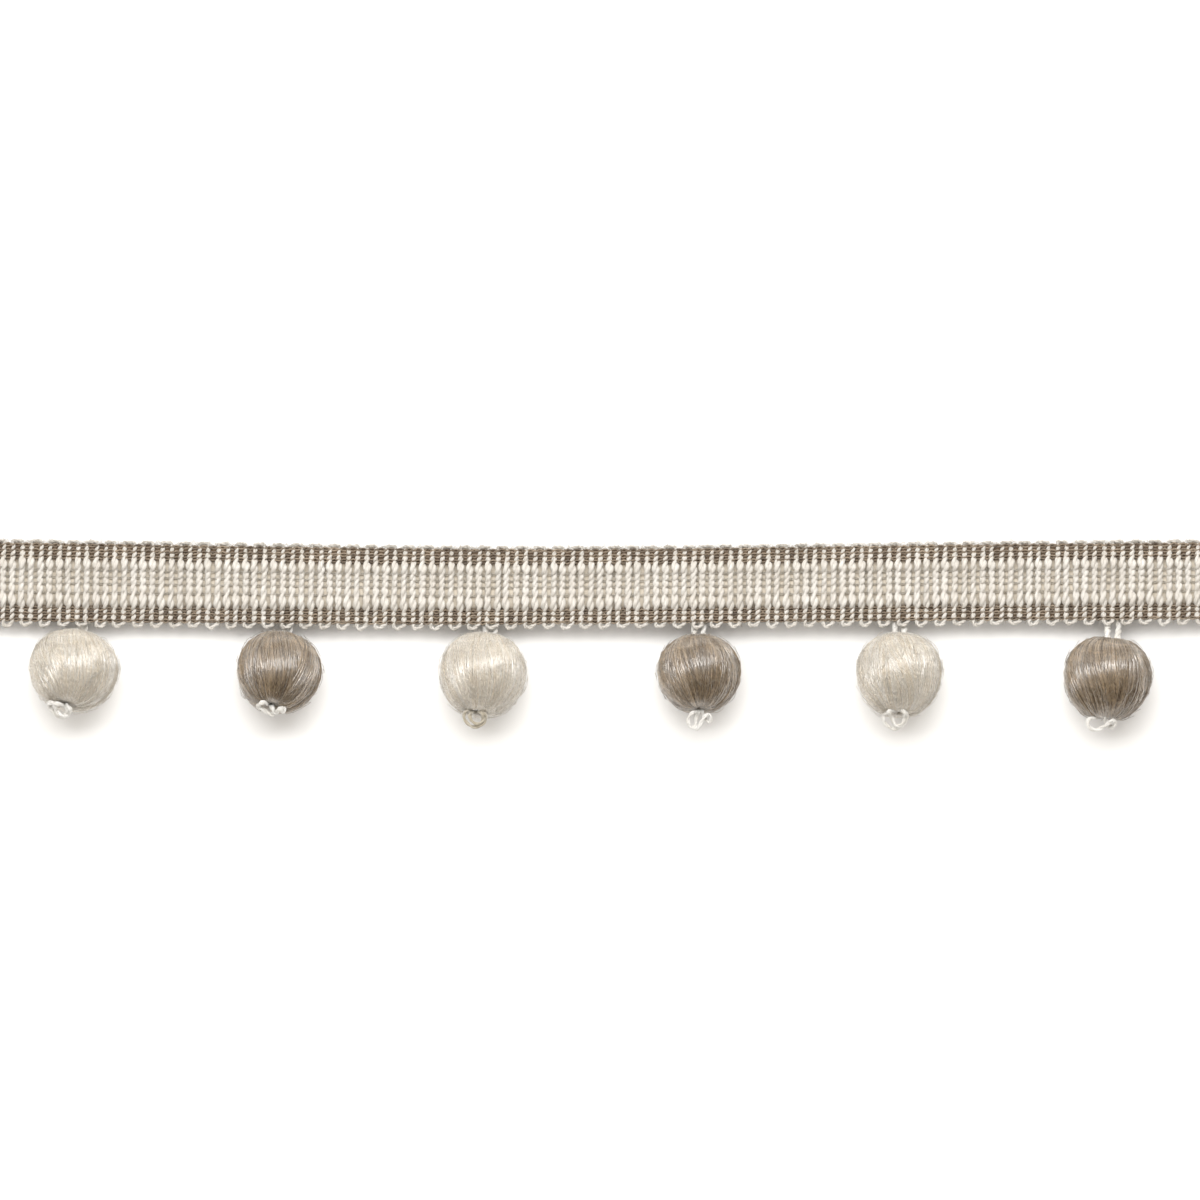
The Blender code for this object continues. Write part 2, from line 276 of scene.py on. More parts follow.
BUNDLES = 27
BUNDLE_STRANDS = 18
BUNDLE_STRAY = 6.0  # how far a bundle lies from its even place
BUNDLE_SWIRL = 14.0
BUNDLE_CROSSING = 11.0  # how much that swirl varies from bundle to bundle
BUNDLE_SINK = 0.255  # how far the strands' middles lie below the ball's surface
BUNDLE_LAYERS = 0.07  # how much higher or lower a bundle lies
BUNDLE_CROWN = 0.07  # how much higher its middle lies than its sides
BUNDLE_TONES = (0.38, 0.62)
BUNDLE_WIDTHS = (0.95, 1.3)
STRAND_RADIUS = 0.15
STRAND_RADII = (0.85, 1.12)
STRAND_SPACING = 1.75
STRAND_STRAY = 0.5  # how far a strand lies from its even place in the bundle
STRAND_CROSSING = 2.5
STRAND_WOBBLE = 1.0
STRAND_HEIGHTS = 0.025  # how much higher or lower a strand lies in its bundle
STRAND_WAVES = ((4, 0.025), (7, 0.045))  # how often it rises and falls round the ball, and how much
WAVE_PHASES = (0, 6.3)  # in radians
STRAND_TONES = 0.42  # how much the tones of a bundle's strands vary
STRAND_LATITUDES = (86, 81, 74, 65, 54, 42, 29, 15, 1, -13, -27, -40, -52, -63, -73, -80, -86)
STRAND_END_DEPTH = 1.5  # how far into the hole a strand runs
STRAND_END_UNEVEN = (0.7, 1.0)
STRAND_THINNING = 0.45  # how much thinner a strand is at the poles
POLE_SHARPNESS = 6  # the higher, the closer to a pole a strand thins and is darkened by painted shade
PAINTED_SHADE_NEAR_POLE = (0.75, 1.375)  # painted shade darkens it between these values of that closeness

LOOSE_FIBRES = 110
LOOSE_FIBRE_LENGTH = (5.0, 24.0)
LOOSE_FIBRE_LATITUDE = 60
LOOSE_FIBRE_SLANT = 16
LOOSE_FIBRE_ABOVE = 0.12
LOOSE_FIBRE_LIFT = (0.04, 0.28)
LOOSE_FIBRE_BOWED = 0.3  # share of them that lie down again at their far end
LOOSE_FIBRE_RADIUS = 1.3 * FIBRE_RADIUS
LOOSE_FIBRE_SEED = 50

# ---------------------------------------------------------------- doubled cords

LEG_RADII = (0.24, 0.24, 0.32, 0.34, 0.34, 0.34)  # of one ply, ball by ball
LEGS_APART = (1.00, 1.00, 1.35, 1.35, 1.35, 1.65)
LEG_TONE = 0.8  # 0 is a beige cord, 1 a white one
LEG_LAY = 3.6  # length of one full turn of the plies
LEG_DIAMETER = 0.78
LEG_GAP = 0.30  # from the braid's lowest loops, and from the ball
LEG_UNDER = 0.2  # how far the cord lies below the braid's lower edge
LEG_RUN = 0.8
LEG_SPREAD = 0.25  # the lower, the longer its two legs run side by side
LEG_INTO_HOLE = 1.6
LEG_BEND = 6  # how sharply it turns down into the hole
LEG_TUCK = 2.2  # how far a leg runs in under the braid
LEG_TUCK_SHARES = (1.0, 0.15)  # of that run, its first and last point
LEG_TUCK_DROP = 0.45
LEG_TUCK_STEPS = 5
EDGE_LOOP_LOWER = 0.85  # how far the braid's lowest loops stand out of its lower edge
TAIL_RADII = (0.25, 0.24, 0.18, 0.19, 0.20, 0.21)
TAIL_TONES = (0.85, 0.80, 0.0, 0.90, 0.75, 0.85)
TAIL_LAY = 3.0
TAIL_OFF_BALL = 0.50
TAIL_HANG = 2.6  # how far above the ball's middle a strand lies beyond the ball
PLY_APART = 0.55  # how far a ply's middle lies from the cord's, for its radius
PLY_TONES_APART = 0.1  # how much lighter or darker a ply is than its cord

# The strands of cord that show below each ball, from hole to hole: places right of
# and above the ball's middle, and how far off its surface
TAILS = (
    (
        ((-1.4, -5.3, -1.5), (-2.6, -5.0, 0.3), (-3.7, -4.9, 0.1), (-3.3, -5.8, 0.1), (-2.5, -6.6, 0.1),
         (-1.7, -7.1, 0.1), (-0.8, -6.7, 0.0), (-0.4, -5.9, 0.0), (-1.1, -5.2, -1.5)),
        ((-2.0, -4.9, -1.5), (-2.7, -5.3, 0.5), (-2.6, -6.0, 0.6), (-2.0, -6.7, 0.6), (-1.3, -6.9, 0.3),
         (-0.9, -6.2, 0.0), (-1.1, -5.3, -1.5)),
    ),
    (
        ((-1.6, -4.8, -1.5), (-2.5, -4.6, 0.2), (-3.1, -5.2, 0.2), (-2.4, -5.6, 0.2), (-1.5, -6.2, 0.2),
         (-0.8, -6.4, 0.1), (-0.8, -5.7, -0.1), (-1.2, -5.1, -1.5)),
        ((-1.0, -5.1, -1.5), (-0.6, -6.0, 0.0), (-0.3, -6.1, 0.2), (0.1, -5.5, 0.3), (0.6, -6.1, 0.2),
         (0.8, -5.5, -0.6), (0.3, -4.9, -1.5)),
    ),
    (
        ((-1.8, -5.3, -1.5), (-2.7, -5.7, 0.1), (-2.9, -6.4, 0.1), (-2.4, -7.3, 0.1), (-1.6, -7.9, 0.0),
         (-0.7, -7.9, 0.0), (0.2, -7.2, 0.1), (0.4, -6.1, 0.1), (-0.6, -5.3, -1.5)),
        ((-1.4, -5.5, -1.5), (-2.0, -6.1, 0.3), (-1.8, -6.9, 0.4), (-0.8, -7.5, 0.4), (-0.0, -6.9, 0.3),
         (-0.1, -6.0, 0.2), (-0.7, -5.5, -1.5)),
    ),
    (
        ((-0.3, -5.7, -1.5), (-1.1, -5.9, 0.2), (-1.6, -6.6, 0.1), (-1.6, -7.4, 0.1), (-1.1, -8.1, 0.0),
         (-0.5, -7.7, -0.3), (-0.5, -6.5, -0.6), (-0.3, -5.5, -1.5)),
        ((0.0, -5.5, -1.5), (-0.5, -7.3, -0.3), (-0.3, -8.4, 0.1), (0.3, -7.3, 0.4), (1.0, -6.2, 0.4),
         (1.6, -6.1, 0.3), (1.8, -6.7, 0.1), (1.5, -7.3, -0.2), (0.9, -6.7, -0.6), (0.4, -5.5, -1.5)),
    ),
    (
        ((-0.8, -5.5, -1.5), (-1.6, -5.6, 0.2), (-2.3, -6.1, 0.1), (-2.4, -6.9, 0.1), (-1.8, -7.8, 0.0),
         (-0.8, -8.2, 0.0), (0.3, -7.8, 0.1), (1.0, -6.9, 0.2), (1.1, -5.9, 0.2), (0.3, -5.3, -1.5)),
        ((-1.1, -5.3, -1.5), (-1.7, -5.7, 0.5), (-1.1, -6.7, 0.5), (-0.5, -7.7, 0.4), (0.2, -7.7, 0.4),
         (0.7, -6.7, 0.4), (0.7, -5.7, 0.2), (0.0, -5.3, -1.5)),
    ),
    (
        ((-1.8, -5.9, -1.5), (-2.8, -6.1, 0.1), (-3.2, -6.6, 0.1), (-2.8, -7.4, 0.0), (-1.9, -7.8, 0.1),
         (-0.9, -7.4, 0.3), (-0.0, -6.8, 0.4), (0.7, -6.2, 0.3), (1.1, -6.7, 0.0), (0.8, -7.4, -0.4),
         (-0.1, -7.0, -0.8), (-0.5, -5.6, -1.5)),
    ),
)
CORD_STEPS = 44

FOUR_SIDED, SIX_SIDED, EIGHT_SIDED = 0, 1, 2  # a curve's bevel resolution for strands of so many sides
WELD = 1e-7  # in metres
MESH_WELD = 0.001  # in millimetres


# ---------------------------------------------------------------- finishes

class Socket:
    """An output of a node, so that shader maths reads as plain Python."""

    def __init__(self, finish, output):
        self.finish, self.output = finish, output

    def math(self, operation, *terms):
        return self.finish.node("ShaderNodeMath", {"operation": operation}, dict(enumerate(terms)))

    def __add__(self, other):
        return self.math("ADD", self, other)

    def __mul__(self, other):
        return self.math("MULTIPLY", self, other)

    __radd__ = __add__
    __rmul__ = __mul__


class Finish:
    """A material under construction, with the shader that its nodes feed."""

    def __init__(self, name, **constants):
        self.material = bpy.data.materials.new(name)
        self.material.use_nodes = True
        self.tree = self.material.node_tree
        self.shader = self.tree.nodes["Principled BSDF"]
        for socket, value in constants.items():
            self.shader.inputs[socket.replace("_", " ")].default_value = value

    def node(self, kind, settings, values, output=0):
        """Adds a node: its settings first, then the values or links of its sockets."""
        node = self.tree.nodes.new(kind)
        for setting, value in settings.items():
            setattr(node, setting, value)
        for socket, value in values.items():
            self.feed(node.inputs[socket], value)
        return Socket(self, node.outputs[output])

    def feed(self, socket, value):
        if isinstance(value, Socket):
            self.tree.links.new(value.output, socket)
        else:
            socket.default_value = value

    def place(self):
        return self.node("ShaderNodeTexCoord", {}, {}, "Object")

    def along(self):
        """The piece's own UV map: millimetres along a strand, and the share of the way round it."""
        parts = {"Vector": self.node("ShaderNodeUVMap", {"uv_map": "UVMap"}, {})}
        return [self.node("ShaderNodeSeparateXYZ", {}, parts, axis) for axis in ("X", "Y")]

    def attribute(self, name):
        return self.node("ShaderNodeAttribute", {"attribute_name": name}, {}, "Fac")

    def noise(self, vector, scale, detail=2.0, roughness=0.5):
        values = {"Vector": vector, "Scale": scale, "Detail": detail, "Roughness": roughness}
        return self.node("ShaderNodeTexNoise", {}, values)

    def stretched(self, vector, scale):
        """A place multiplied by a scale of its own for each axis."""
        return self.node("ShaderNodeMapping", {}, {"Vector": vector, "Scale": scale})

    def ranged(self, value, low, high, to_low=0.0, to_high=1.0):
        """The value taken smoothly from one range to another and held at its ends."""
        values = {0: value, 1: low, 2: high, 3: to_low, 4: to_high}
        return self.node("ShaderNodeMapRange", {"interpolation_type": "SMOOTHSTEP"}, values)

    def mixed(self, share, first, second):
        """A colour between two. Sockets 6 and 7 and output 2 are the node's colours."""
        values = {0: share, 6: first, 7: second}
        return self.node("ShaderNodeMix", {"data_type": "RGBA"}, values, 2)

    def bump(self, height, distance, strength=1.0):
        values = {"Height": height, "Distance": distance, "Strength": strength}
        self.feed(self.shader.inputs["Normal"], self.node("ShaderNodeBump", {}, values))

    def colour(self, value):
        self.feed(self.shader.inputs["Base Color"], value)

    def roughness(self, value):
        self.feed(self.shader.inputs["Roughness"], value)


def rgba(colour):
    return (*colour, 1.0)


def filaments(finish, count, lay, stretch):
    """The fine filaments that wind round a strand: noise drawn out along them, with no seam."""
    along, around = finish.along()
    turn = (around + along * (1.0 / lay)) * (2 * math.pi)
    spread = count / 2
    place = {
        "X": turn.math("COSINE", turn) * spread,
        "Y": turn.math("SINE", turn) * spread,
        "Z": along * stretch,
    }
    noise = finish.noise(finish.node("ShaderNodeCombineXYZ", {}, place), 1.0, 3.0, 0.6)
    return finish.ranged(noise, *NOISE_MIDDLE)


def silk_thread(silk):
    """Silky winding thread: each strand has its own tone and fine filaments along it, and is darkened with
    painted shade down in the holes and between the strands.
    """
    finish = Finish(
        silk.name, Metallic=0.30, Specular_IOR_Level=0.8, Sheen_Weight=silk.sheen, Sheen_Roughness=0.30,
        Sheen_Tint=rgba((1.0, 0.98, 0.95)), Coat_IOR=2.6, Coat_Roughness=0.29,
    )
    patches = finish.ranged(finish.noise(finish.place(), 420.0), *NOISE_MIDDLE)
    fibres = filaments(finish, SILK_FIBRES, SILK_LAY, SILK_STRETCH)
    of_strand, of_patches, of_fibres = SILK_TONES
    share = finish.attribute("tone") * of_strand + patches * of_patches + fibres * of_fibres
    base = finish.mixed(share, rgba(silk.dark), rgba(silk.light))
    # painted shade: towards a dark colour in a ball's holes and where its core shows between the strands
    finish.colour(finish.mixed(finish.attribute("painted_shade"), base, rgba(silk.deep)))
    finish.feed(finish.shader.inputs["Coat Weight"], finish.ranged(share, *SILK_COAT_TONES, *silk.coat))
    finish.roughness(finish.ranged(fibres, 0.0, 1.0, *SILK_ROUGHNESS))
    finish.bump(fibres, SILK_RELIEF * MM)
    return finish.material


def spun_yarn(yarn):
    """Spun yarn of the braid and the cords: soft, slightly uneven, with its fibres wound round it."""
    finish = Finish(
        yarn.name, Specular_IOR_Level=0.45, Sheen_Weight=yarn.sheen, Sheen_Roughness=0.45,
        Sheen_Tint=rgba((1.0, 0.98, 0.94)),
    )
    patches = finish.ranged(finish.noise(finish.place(), 260.0, 3.0), *NOISE_MIDDLE)
    fibres = filaments(finish, YARN_FIBRES, yarn.lay, YARN_STRETCH)
    rest = patches * YARN_PATCHES + fibres * (1.0 - YARN_PATCHES)
    share = finish.attribute("tone") * yarn.own_tone + rest * (1.0 - yarn.own_tone)
    finish.colour(finish.mixed(share, rgba(yarn.dark), rgba(yarn.light)))
    finish.roughness(finish.ranged(fibres, 0.0, 1.0, *yarn.roughness))
    finish.bump(fibres, YARN_RELIEF * MM)
    return finish.material


def ground_and_gap_shade():
    """The ground between the cords: taupe along both edges and beige between them, both darkened with painted
    shade for the gaps between the cords.
    """
    finish = Finish("braid_ground_and_gap_shade", Specular_IOR_Level=0.25, Sheen_Weight=0.2, Sheen_Roughness=0.6)
    share = finish.attribute("share")
    below_upper, above_lower = (finish.ranged(share, *turn) for turn in GROUND_TURNS)
    threads = finish.noise(finish.stretched(finish.place(), GROUND_THREADS), 1.0, 3.0)
    # painted shade: both colours are darker than the yarns, for the shade in the gaps between the cords
    taupe, beige = (
        finish.mixed(threads, rgba(dark), rgba(light)) for dark, light in (GROUND_TAUPE_WITH_SHADE, GROUND_BEIGE_WITH_SHADE)
    )
    finish.colour(finish.mixed(below_upper * above_lower, taupe, beige))
    finish.roughness(finish.ranged(threads, 0.2, 0.8, 0.70, 0.90))
    finish.bump(threads, GROUND_RELIEF * MM, 0.8)
    return finish.material


def floor_finish():
    """A plain pale floor with hardly any grain."""
    finish = Finish("plain_floor", Specular_IOR_Level=0.2)
    grain = finish.noise(finish.place(), 6.0)
    darkest = [value - FLOOR_GRAIN for value in FLOOR_COLOUR]
    finish.colour(finish.mixed(grain, rgba(darkest), rgba(FLOOR_COLOUR)))
    finish.roughness(finish.ranged(grain, *NOISE_MIDDLE, 0.80, 0.86))
    return finish.material


# ---------------------------------------------------------------- shapes

def through(knots, values, at):
    """Values at the given places, on a smooth curve through the knots."""
    knots, values, at = (np.asarray(item, float) for item in (knots, values, at))
    slopes = np.empty_like(values)
    slopes[1:-1] = (values[2:] - values[:-2]) / (knots[2:] - knots[:-2])
    slopes[0] = (values[1] - values[0]) / (knots[1] - knots[0]) / 2
    slopes[-1] = (values[-1] - values[-2]) / (knots[-1] - knots[-2]) / 2
    i = np.clip(np.searchsorted(knots, at, side="right") - 1, 0, len(knots) - 2)
    step = knots[i + 1] - knots[i]
    t = (at - knots[i]) / step
    rise = values[i + 1] - values[i]
    first, last = slopes[i] * step, slopes[i + 1] * step
    return values[i] + first * t + (3 * rise - 2 * first - last) * t**2 + (first + last - 2 * rise) * t**3


def edge_upper(x):
    """Where the braid's upper edge lies, at a place along it."""
    return through(EDGE_X, EDGE_UPPER, x)


def edge_lower(x):
    return through(EDGE_X, EDGE_LOWER, x)


def weft_row(field, share):
    """One field of the weft's pass, at a share of the way across."""
    rows = [row.share for row in WEFT_ROWS]
    return through(rows, [getattr(row, field) for row in WEFT_ROWS], share)


def lifted(x, share):
    """How high the braid stands off the surface, at a place along and a share of the way across."""
    return through(EDGE_X, EDGE_LIFTS, x) * np.clip(share, 0.0, 1.0) ** EDGE_LIFT_BEND


def strand_piece(name, strands, finish, resolution=FOUR_SIDED):
    """One mesh of many round strands. A strand is its points and radii in millimetres, and the
    tone of its points and how much painted shade darkens them, both from 0 to 1."""
    sides = 4 + 2 * resolution
    curve = bpy.data.curves.new(name, "CURVE")
    curve.dimensions = "3D"
    curve.bevel_depth = MM
    curve.bevel_resolution = resolution
    curve.use_fill_caps = True
    for points, radii, _, _ in strands:
        spline = curve.splines.new("POLY")
        spline.points.add(len(points) - 1)
        spline.points.foreach_set("co", np.column_stack((points * MM, np.ones(len(points)))).ravel())
        spline.points.foreach_set("radius", np.broadcast_to(radii, len(points)).astype(np.float32))
    holder = bpy.data.objects.new(name, curve)
    mesh = bpy.data.meshes.new_from_object(holder)
    bpy.data.objects.remove(holder)
    bpy.data.curves.remove(curve)

    # The caps of every strand come first, from the last strand to the first, and then the sides
    caps, rings, lengths = [], [], []
    for number, (points, _, tone, painted_shade) in enumerate(strands):
        own = np.column_stack([np.broadcast_to(item, len(points)) for item in (number, tone, painted_shade)])
        caps.append(np.repeat(own[[-1, 0]], sides, axis=0))
        rings.append(np.repeat(own, sides, axis=0))
        lengths.append(np.linalg.norm(np.diff(points, axis=0), axis=1).sum())
    owner, tones, painted_shade = np.concatenate(caps[::-1] + rings).T
    owner = owner.astype(int)
    mesh.attributes.new("tone", "FLOAT", "POINT").data.foreach_set("value", tones.astype(np.float32))
    mesh.attributes.new("painted_shade", "FLOAT", "POINT").data.foreach_set("value", painted_shade.astype(np.float32))

    # The first UV value becomes millimetres along the strand
    corners = np.empty(len(mesh.loops), np.int32)
    mesh.loops.foreach_get("vertex_index", corners)
    uv = np.empty(2 * len(mesh.loops), np.float32)
    mesh.uv_layers[0].data.foreach_get("uv", uv)
    uv = uv.reshape(-1, 2)
    uv[:, 0] *= np.asarray(lengths)[owner[corners]]
    mesh.uv_layers[0].data.foreach_set("uv", uv.ravel())

    bm = bmesh.new()
    bm.from_mesh(mesh)
    bmesh.ops.remove_doubles(bm, verts=bm.verts[:], dist=WELD)
    bmesh.ops.recalc_face_normals(bm, faces=bm.faces[:])
    bm.to_mesh(mesh)
    bm.free()
    return finished(name, mesh, finish)


def finished(name, mesh, finish):
    """A mesh in metres made a piece of the trim."""
    mesh.name = name
    mesh.shade_smooth()
    mesh.materials.clear()
    mesh.materials.append(finish)
    piece = bpy.data.objects.new(name, mesh)
    bpy.context.scene.collection.objects.link(piece)
    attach(piece, "root")
    return piece


def bmesh_piece(name, bm, finish):
    """A bmesh in millimetres made a piece in metres."""
    bmesh.ops.recalc_face_normals(bm, faces=bm.faces[:])
    bmesh.ops.scale(bm, vec=(MM, MM, MM), verts=bm.verts[:])
    mesh = bpy.data.meshes.new(name)
    bm.to_mesh(mesh)
    bm.free()
    return finished(name, mesh, finish)


def plies(route, turns, apart, radii, tones):
    """The two plies of a cord along a route, turning about it."""
    ahead = np.gradient(route, axis=0)
    ahead /= np.linalg.norm(ahead, axis=1)[:, None]
    aside = np.cross(ahead, UP)
    aside /= np.maximum(np.linalg.norm(aside, axis=1), 1e-6)[:, None]
    above = np.cross(aside, ahead)
    angle = (-2 * math.pi * turns)[:, None]
    apart = np.broadcast_to(apart, len(route))[:, None]
    out = apart * (np.cos(angle) * aside + np.sin(angle) * above)
    return [(route + out, radii, tones[0], 0.0), (route - out, radii, tones[1], 0.0)]


# ---------------------------------------------------------------- braid pieces

def weft_plies(finish):
    """The two plies of the one cream cord that makes every rib and turns at both edges."""
    uneven = np.random.default_rng(WEFT_SEED)
    first, last = BANDS
    shares = np.concatenate((
        np.linspace(0.0, first, BAND_STEPS, endpoint=False),
        np.linspace(first, last, MIDDLE_STEPS, endpoint=False),
        np.linspace(last, 1.0, BAND_STEPS + 1),
    ))
    route, turns, apart, radii = [], [], [], []
    turned = 0.0
    for rib in range(RIBS):
        upwards = rib % 2 == 0
        share = shares[::-1] if upwards else shares
        x = -LENGTH / 2 + (rib + 0.5) * PITCH + uneven.uniform(-WEFT_UNEVEN, WEFT_UNEVEN)
        made = weft_row("turns", share)
        in_band = np.clip(np.maximum(first - share, share - last) / BAND_SWAY_START, 0.0, 1.0)
        sway = (
            uneven.uniform(-WEFT_UNEVEN, WEFT_UNEVEN) * np.sin(2 * math.pi * (share + uneven.random()))
            - BAND_SWAY * uneven.uniform(*BAND_SWAY_UNEVEN) * in_band * np.sin(4 * math.pi * (made - 0.25))
        )
        lift = 1.0 + uneven.uniform(-WEFT_UNEVEN, WEFT_UNEVEN)
        swell = 1.0 + uneven.uniform(-WEFT_UNEVEN, WEFT_UNEVEN)
        upper, lower = edge_upper(x), edge_lower(x)
        across = np.column_stack((
            x + WEFT_LEAN * (0.5 - share) + sway,
            upper + (lower - upper) * share,
            weft_row("height", share) * lift + lifted(x, share),
        ))
        route.append(across)
        turns.append(turned + np.abs(made - made[0]))
        apart.append(weft_row("apart", share) * swell)
        radii.append(weft_row("radius", share) * swell)
        turned = turns[-1][-1]
        if rib == RIBS - 1:
            break
        loop, heights = (UPPER_LOOP, UPPER_LOOP_HEIGHT) if upwards else (LOWER_LOOP, LOWER_LOOP_HEIGHT)
        loop, heights = np.asarray(loop), np.asarray(heights) + lifted(x, share[-1])
        start = route[-1][-1]
        reach = 1.0 + uneven.uniform(*LOOP_UNEVEN)
        route.append(np.column_stack((
            start[0] + loop[:, 0] * PITCH,
            start[1] + loop[:, 1] * reach,
            heights,
        )))
        turns.append(turned + LOOP_TURNS * (np.arange(len(loop)) + 1) / (len(loop) + 1))
        apart.append(np.full(len(loop), weft_row("apart", share[-1:])[0]))
        radii.append(np.full(len(loop), weft_row("radius", share[-1:])[0]))
        turned += LOOP_TURNS
    cord = (np.concatenate(parts) for parts in (route, turns, apart, radii))
    return [
        strand_piece(f"weft_ply_{number}", [ply], finish, SIX_SIDED)
        for number, ply in enumerate(plies(*cord, WEFT_TONES), start=1)
    ]


def in_each_gap(uneven, places):
    """One random share for each gap between two ribs, at every place along a chain."""
    return np.repeat(uneven.random(RIBS + 1), CHAIN_STEPS)[CHAIN_STEPS // 2:][:places]


def chains(chain, finish):
    """Chains along the braid, whose strands close up over a rib and spread between two."""
    uneven = np.random.default_rng(CHAIN_SEED + len(chain.shares))
    x = np.linspace(-LENGTH / 2, LENGTH / 2, RIBS * CHAIN_STEPS + 1)
    between = 0.5 + 0.5 * np.cos(2 * math.pi * (x + LENGTH / 2) / PITCH)
    upper, lower = edge_upper(x), edge_lower(x)
    closed, spread = chain.apart
    strands = []
    for share in chain.shares:
        for side in (-1.0, 1.0):
            spread_here = spread * (1.0 + CHAIN_GAPS_UNEVEN * (2.0 * in_each_gap(uneven, len(x)) - 1.0))
            offset = side * (closed + (spread_here - closed) * between)
            wander = uneven.uniform(-CHAIN_UNEVEN, CHAIN_UNEVEN, (3, len(x)))
            leaned = x + WEFT_LEAN * (0.5 - share)
            height = weft_row("height", np.full(len(x), share)) + lifted(x, share)
            points = np.column_stack((
                np.clip(leaned + wander[0], -LENGTH / 2, LENGTH / 2),
                upper + (lower - upper) * share + offset + wander[1],
                height + chain.over - chain.dip * between + wander[2],
            ))
            uneven_radii = uneven.uniform(-CHAIN_RADII_UNEVEN, CHAIN_RADII_UNEVEN, len(x))
            radii = chain.radius * (1.0 + uneven_radii + chain.swell * between)
            strands.append((points, radii, in_each_gap(uneven, len(x)), 0.0))
    return strand_piece(chain.name, strands, finish)


def braid_ground(finish):
    """The thin ground behind the cords, ribbed on both sides and closed round its edges."""
    section = GROUND_BACK[-1:] + GROUND_FACE + GROUND_BACK
    columns = RIBS * GROUND_COLUMNS
    bm = bmesh.new()
    bmesh.ops.create_grid(bm, x_segments=columns, y_segments=len(section) - 1, size=0.5)
    shares = bm.verts.layers.float.new("share")
    for vert in bm.verts:
        column = round((vert.co.x + 0.5) * columns)
        share, on_rib, between = section[round((vert.co.y + 0.5) * (len(section) - 1))]
        hollow = 0.5 + 0.5 * math.cos(2 * math.pi * column / GROUND_COLUMNS)
        x = -LENGTH / 2 + LENGTH * column / columns
        vert[shares] = share
        vert.co = (x, share, on_rib + (between - on_rib) * hollow + lifted(x, share))
    places = np.array([vert.co.x for vert in bm.verts])
    upper, lower = edge_upper(places), edge_lower(places)
    for vert, top, bottom in zip(bm.verts, upper, lower):
        vert.co.y = top + (bottom - top) * vert.co.y
    bmesh.ops.remove_doubles(bm, verts=bm.verts[:], dist=MESH_WELD)
    bmesh.ops.holes_fill(bm, edges=[edge for edge in bm.edges if edge.is_boundary])
    return bmesh_piece("braid_ground", bm, finish)


def edge_fibres(finish):
    """Fine loose fibres that stand out of both edges and off the face."""
    loose = np.random.default_rng(FIBRE_SEED)
    furthest = LENGTH / 2 - EDGE_FIBRE_FROM_ENDS
    t = np.linspace(0.0, 1.0, 4)
    strands = []
    for _ in range(EDGE_FIBRES):
        x = loose.uniform(-furthest, furthest)
        if loose.random() < EDGE_FIBRES_ABOVE:
            edge, out, lift = float(edge_upper(x)), 1.0, 0.0
        else:
            edge, out, lift = float(edge_lower(x)), -1.0, float(lifted(x, 1.0))
        length = loose.uniform(*EDGE_FIBRE_LENGTH)
        angle = loose.uniform(-EDGE_FIBRE_FAN, EDGE_FIBRE_FAN)
        curl = loose.uniform(-EDGE_FIBRE_CURL, EDGE_FIBRE_CURL)
        start = EDGE_FIBRE_HEIGHT + lift + loose.uniform(*EDGE_FIBRE_UNEVEN)
        points = np.column_stack((
            x + length * t * math.sin(angle) + curl * t * t,
            edge + out * (EDGE_FIBRE_OUT * length * t * math.cos(angle) - EDGE_FIBRE_ROOT),
            start + EDGE_FIBRE_BOW * t * (1.0 - t) * loose.uniform(-1, 1),
        ))
        strands.append((points, FIBRE_RADIUS, loose.random(), 0.0))
    return strand_piece("edge_fibres", strands, finish)


# ---------------------------------------------------------------- ball pieces

def ball_axes(ball):
    """A ball's own directions: to its right, towards its top pole, and out of its upper side."""
    dip, turn = math.radians(ball.dip), math.radians(ball.turn)
    right = Vector((math.cos(turn), -math.sin(turn), 0.0))
    top = Vector((math.sin(turn) * math.cos(dip), math.cos(turn) * math.cos(dip), -math.sin(dip)))
    return np.array(right), np.array(top), np.array(right.cross(top))


def ball_centre(ball, node):
    """The middle of a ball that rests on its flat spot, from the height of its solid."""
    return np.array((ball.x, ball.y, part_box(node)[1].z / MM / 2 - FLAT_DEPTH / 2))


def on_ball(ball, centre, longitude, latitude, above):
    """Points over a ball at longitudes and latitudes in radians, at a height above its mean surface."""
    right, top, out = ball_axes(ball)
    height = BALL_HEIGHT * (ball.width + ball.length) / 2
    from_pole = 90.0 - np.abs(np.degrees(latitude))
    hollow = HOLLOW_DEPTH * np.maximum(0.0, 1.0 - from_pole / HOLLOW_REACH) ** HOLLOW_STEEP
    radius = 1.0 + (above - hollow) / BALL_RADIUS
    around = radius * np.cos(latitude) * (1.0 + SHOULDER * np.sin(latitude))
    reach = radius * np.sin(latitude) * (ball.length / 2 + np.where(latitude < 0, ball.tip, 0.0))
    return (
        centre
        + (around * np.cos(longitude) * ball.width / 2)[:, None] * right
        + (around * np.sin(longitude) * height / 2)[:, None] * out
        + reach[:, None] * top
    )


